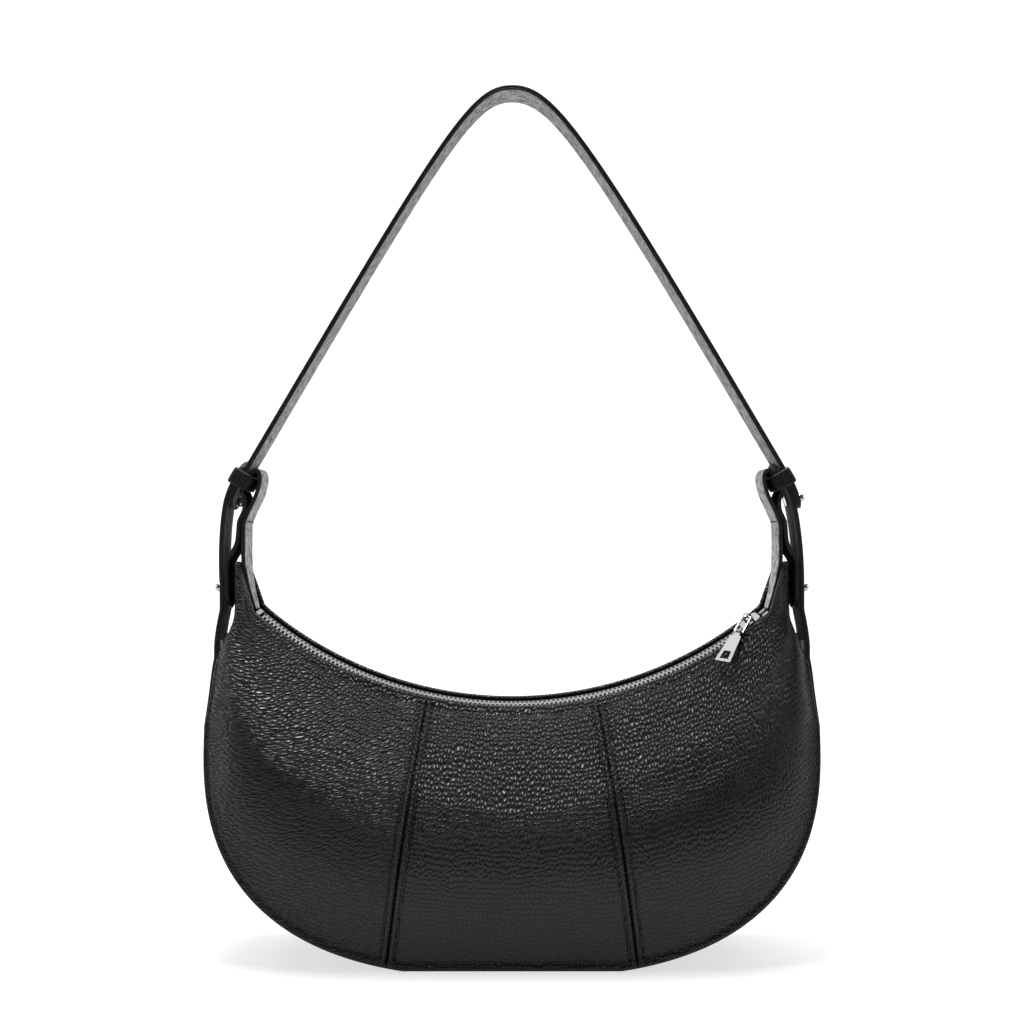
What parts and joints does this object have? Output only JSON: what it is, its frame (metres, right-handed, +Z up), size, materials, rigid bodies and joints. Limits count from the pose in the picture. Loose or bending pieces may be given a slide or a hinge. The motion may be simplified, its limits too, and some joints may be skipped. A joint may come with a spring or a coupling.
{
  "type": "half moon shoulder bag",
  "caption": "Half moon shoulder bag of pebbled leather panels on a gusset, with a curved zip mouth and a flat strap looped to its horns.",
  "frame": {"origin": "centre of the overall box in X and Y, on the surface the bag stands on", "axes": "+X along the bag to the right seen from the front, +Y to the back, +Z up"},
  "size_m": [0.2966, 0.0908, 0.419],
  "materials": {
    "pebbled_leather": "pebbled grain, satin",
    "strap_leather": "smooth grain with painted edges",
    "suede": "light grey suede flesh side",
    "lining_cloth": "plain woven lining",
    "board": "pressed fibre board",
    "zip_tape": "woven tape",
    "zip_metal": "polished",
    "polished_metal": "mirror polished"
  },
  "bodies": {
    "bag": {"front_centre_panel": "pebbled_leather", "front_left_panel": "pebbled_leather", "front_right_panel": "pebbled_leather", "back_centre_panel": "pebbled_leather", "back_left_panel": "pebbled_leather", "back_right_panel": "pebbled_leather", "gusset": "pebbled_leather", "base_board": "board", "lining_front": "lining_cloth", "lining_back": "lining_cloth", "lining_gusset": "lining_cloth", "slip_pocket": "lining_cloth", "zip_tape_front": "zip_tape", "zip_tape_back": "zip_tape", "zip_teeth_front": "zip_metal", "zip_teeth_back": "zip_metal", "zip_bottom_stop": "zip_metal", "zip_top_stops": "zip_metal", "left_horn_facing": "suede", "right_horn_facing": "suede", "left_side_strap": "strap_leather", "right_side_strap": "strap_leather", "left_lower_stud": "polished_metal", "right_lower_stud": "polished_metal"},
    "strap": {"shoulder_strap": "strap_leather", "strap_lining": "suede", "left_strap_riser": "strap_leather", "right_strap_riser": "strap_leather", "left_horn_loop": "strap_leather", "right_horn_loop": "strap_leather", "left_keeper": "strap_leather", "right_keeper": "strap_leather", "left_upper_stud": "polished_metal", "right_upper_stud": "polished_metal"},
    "slider": {"zip_slider": "polished_metal"},
    "link": {"pull_link": "polished_metal"},
    "pull": {"pull_plate": "polished_metal"}
  },
  "joints": [
    {"name": "strap_swing", "type": "hinge", "parent": "bag", "child": "strap", "pos_m": [0, 0, 0.177], "axis": [1, 0, 0], "range_deg": [-90, 90]},
    {"name": "slider_travel", "type": "hinge", "parent": "bag", "child": "slider", "pos_m": [0, 0, 0.311], "axis": [0, 1, 0], "range_deg": [0, 68], "deforming": ["zip_teeth_front", "zip_teeth_back"]},
    {"name": "link_swing", "type": "hinge", "parent": "slider", "child": "link", "pos_m": [0.11437, -0.00148, 0.16249], "axis": [0.8051, -0.5841, -0.1029], "range_deg": [-90, 0]},
    {"name": "pull_swing", "type": "hinge", "parent": "link", "child": "pull", "pos_m": [0.10956, -0.00691, 0.15562], "axis": [0.8051, -0.5841, -0.1029], "range_deg": [-120, 0]}
  ]
}
